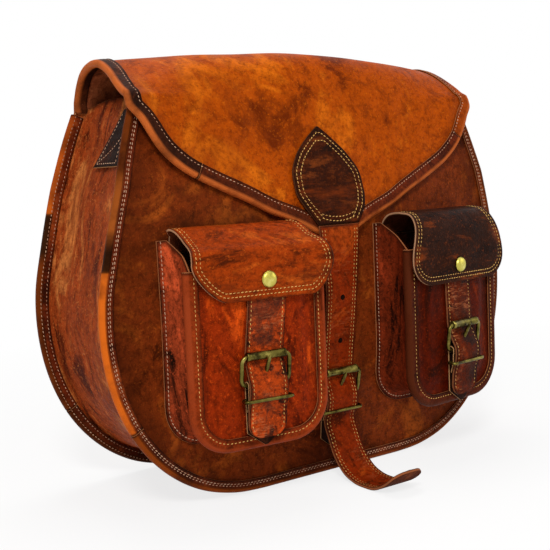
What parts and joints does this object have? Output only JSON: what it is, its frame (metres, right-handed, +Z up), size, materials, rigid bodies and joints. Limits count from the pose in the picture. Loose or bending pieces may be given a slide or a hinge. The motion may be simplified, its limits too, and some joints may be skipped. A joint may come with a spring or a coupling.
{
  "type": "leather saddle bag",
  "caption": "Rounded leather shoulder bag with a wrap-over flap, a leaf-headed centre strap on a roller buckle, and buckled front pockets with studded flaps.",
  "frame": {"origin": "on the ground under the middle of the front seam", "axes": "+X along the width, towards the right as seen from the front; +Y from the front to the back; +Z up"},
  "size_m": [0.3488, 0.1759, 0.2925],
  "materials": {
    "front_panel": "mottled orange-brown",
    "back_panel": "mottled orange-brown",
    "gusset": "streaked red-brown",
    "front_binding_left": "dark red-brown with worn orange patches",
    "front_binding_bottom": "dark red-brown with worn orange patches",
    "front_binding_right": "dark red-brown with worn orange patches",
    "back_binding_left": "dark red-brown with worn orange patches",
    "back_binding_bottom": "dark red-brown with worn orange patches",
    "back_binding_right": "dark red-brown with worn orange patches",
    "front_hem": "dark brown",
    "side_tab_left": "red-brown",
    "side_tab_right": "red-brown",
    "flap_panel": "mottled orange-tan",
    "flap_binding_left": "dark brown with burnished orange rim",
    "flap_binding_right": "dark brown with burnished orange rim",
    "leaf": "near-black brown",
    "centre_strap": "creased red-brown",
    "chape_centre": "dark brown",
    "frame_centre": "aged satin",
    "keeper_centre": "aged satin",
    "prong_centre": "aged satin",
    "roller_centre": "aged satin",
    "chape_left": "dark brown",
    "frame_left": "aged satin",
    "keeper_left": "aged satin",
    "prong_left": "aged satin",
    "roller_left": "aged satin",
    "chape_right": "dark brown",
    "frame_right": "aged satin",
    "keeper_right": "aged satin",
    "prong_right": "aged satin",
    "roller_right": "aged satin",
    "pocket_gusset_left": "dark maroon",
    "pocket_front_left": "red-orange brown",
    "pocket_binding_left": "red-brown",
    "pocket_flap_left": "red-brown with darker top",
    "pocket_welt_left": "red-brown",
    "pocket_strap_left": "distressed brown",
    "stud_left": "aged satin",
    "pocket_gusset_right": "dark maroon",
    "pocket_front_right": "red-orange brown",
    "pocket_binding_right": "red-brown",
    "pocket_flap_right": "red-brown with darker top",
    "pocket_welt_right": "red-brown",
    "pocket_strap_right": "distressed brown",
    "stud_right": "aged satin"
  },
  "bodies": {
    "bag": {"front_panel": "front_panel", "back_panel": "back_panel", "gusset": "gusset", "front_binding_left": "front_binding_left", "front_binding_bottom": "front_binding_bottom", "front_binding_right": "front_binding_right", "back_binding_left": "back_binding_left", "back_binding_bottom": "back_binding_bottom", "back_binding_right": "back_binding_right", "front_hem": "front_hem", "side_tab_left": "side_tab_left", "side_tab_right": "side_tab_right", "chape_centre": "chape_centre", "chape_left": "chape_left", "chape_right": "chape_right", "pocket_gusset_left": "pocket_gusset_left", "pocket_front_left": "pocket_front_left", "pocket_binding_left": "pocket_binding_left", "pocket_welt_left": "pocket_welt_left", "pocket_gusset_right": "pocket_gusset_right", "pocket_front_right": "pocket_front_right", "pocket_binding_right": "pocket_binding_right", "pocket_welt_right": "pocket_welt_right"},
    "flap": {"flap_panel": "flap_panel", "flap_binding_left": "flap_binding_left", "flap_binding_right": "flap_binding_right", "leaf": "leaf", "centre_strap": "centre_strap"},
    "pocket_flap_left": {"pocket_flap_left": "pocket_flap_left", "pocket_strap_left": "pocket_strap_left", "stud_left": "stud_left"},
    "pocket_flap_right": {"pocket_flap_right": "pocket_flap_right", "pocket_strap_right": "pocket_strap_right", "stud_right": "stud_right"},
    "frame_centre": {"frame_centre": "frame_centre"},
    "prong_centre": {"prong_centre": "prong_centre"},
    "roller_centre": {"roller_centre": "roller_centre"},
    "keeper_centre": {"keeper_centre": "keeper_centre"},
    "frame_left": {"frame_left": "frame_left"},
    "prong_left": {"prong_left": "prong_left"},
    "roller_left": {"roller_left": "roller_left"},
    "keeper_left": {"keeper_left": "keeper_left"},
    "frame_right": {"frame_right": "frame_right"},
    "prong_right": {"prong_right": "prong_right"},
    "roller_right": {"roller_right": "roller_right"},
    "keeper_right": {"keeper_right": "keeper_right"}
  },
  "joints": [
    {"name": "flap_fold", "type": "hinge", "parent": "bag", "child": "flap", "pos_m": [0, 0.08768, 0.263], "axis": [-1, 0, 0], "range_deg": [0, 150], "deforming": ["centre_strap"]},
    {"name": "pocket_flap_left_fold", "type": "hinge", "parent": "bag", "child": "pocket_flap_left", "pos_m": [-0.08343, -0.0272, 0.17952], "axis": [-0.9949, 0.1011, 0], "range_deg": [0, 110], "deforming": ["pocket_strap_left"]},
    {"name": "pocket_flap_right_fold", "type": "hinge", "parent": "bag", "child": "pocket_flap_right", "pos_m": [0.08449, -0.02709, 0.17952], "axis": [-0.9949, -0.1011, 0], "range_deg": [0, 110], "deforming": ["pocket_strap_right"]},
    {"name": "frame_centre_swing", "type": "hinge", "parent": "bag", "child": "frame_centre", "pos_m": [0, -0.00918, 0.05467], "axis": [1, 0, 0], "range_deg": [0, 60]},
    {"name": "prong_centre_swing", "type": "hinge", "parent": "frame_centre", "child": "prong_centre", "pos_m": [0, -0.00918, 0.05467], "axis": [1, 0, 0], "range_deg": [0, 45]},
    {"name": "roller_centre_spin", "type": "hinge", "parent": "frame_centre", "child": "roller_centre", "pos_m": [0, -0.01324, 0.07234], "axis": [1, 0, 0], "continuous": true},
    {"name": "keeper_centre_tilt", "type": "hinge", "parent": "bag", "child": "keeper_centre", "pos_m": [0, -0.00794, 0.04575], "axis": [1, 0, 0], "range_deg": [-50, 50]},
    {"name": "frame_left_swing", "type": "hinge", "parent": "bag", "child": "frame_left", "pos_m": [-0.08582, -0.04318, 0.082], "axis": [0.9949, -0.1011, 0], "range_deg": [0, 60]},
    {"name": "prong_left_swing", "type": "hinge", "parent": "frame_left", "child": "prong_left", "pos_m": [-0.08582, -0.04318, 0.082], "axis": [0.9949, -0.1011, 0], "range_deg": [0, 45]},
    {"name": "roller_left_spin", "type": "hinge", "parent": "frame_left", "child": "roller_left", "pos_m": [-0.08605, -0.04537, 0.1], "axis": [0.9949, -0.1011, 0], "continuous": true},
    {"name": "keeper_left_tilt", "type": "hinge", "parent": "bag", "child": "keeper_left", "pos_m": [-0.08579, -0.04288, 0.073], "axis": [0.9949, -0.1011, 0], "range_deg": [-50, 50]},
    {"name": "frame_right_swing", "type": "hinge", "parent": "bag", "child": "frame_right", "pos_m": [0.08881, -0.04288, 0.08], "axis": [0.9949, 0.1011, 0], "range_deg": [0, 60]},
    {"name": "prong_right_swing", "type": "hinge", "parent": "frame_right", "child": "prong_right", "pos_m": [0.08881, -0.04288, 0.08], "axis": [0.9949, 0.1011, 0], "range_deg": [0, 45]},
    {"name": "roller_right_spin", "type": "hinge", "parent": "frame_right", "child": "roller_right", "pos_m": [0.08903, -0.04507, 0.098], "axis": [0.9949, 0.1011, 0], "continuous": true},
    {"name": "keeper_right_tilt", "type": "hinge", "parent": "bag", "child": "keeper_right", "pos_m": [0.08878, -0.04258, 0.071], "axis": [0.9949, 0.1011, 0], "range_deg": [-50, 50]}
  ]
}
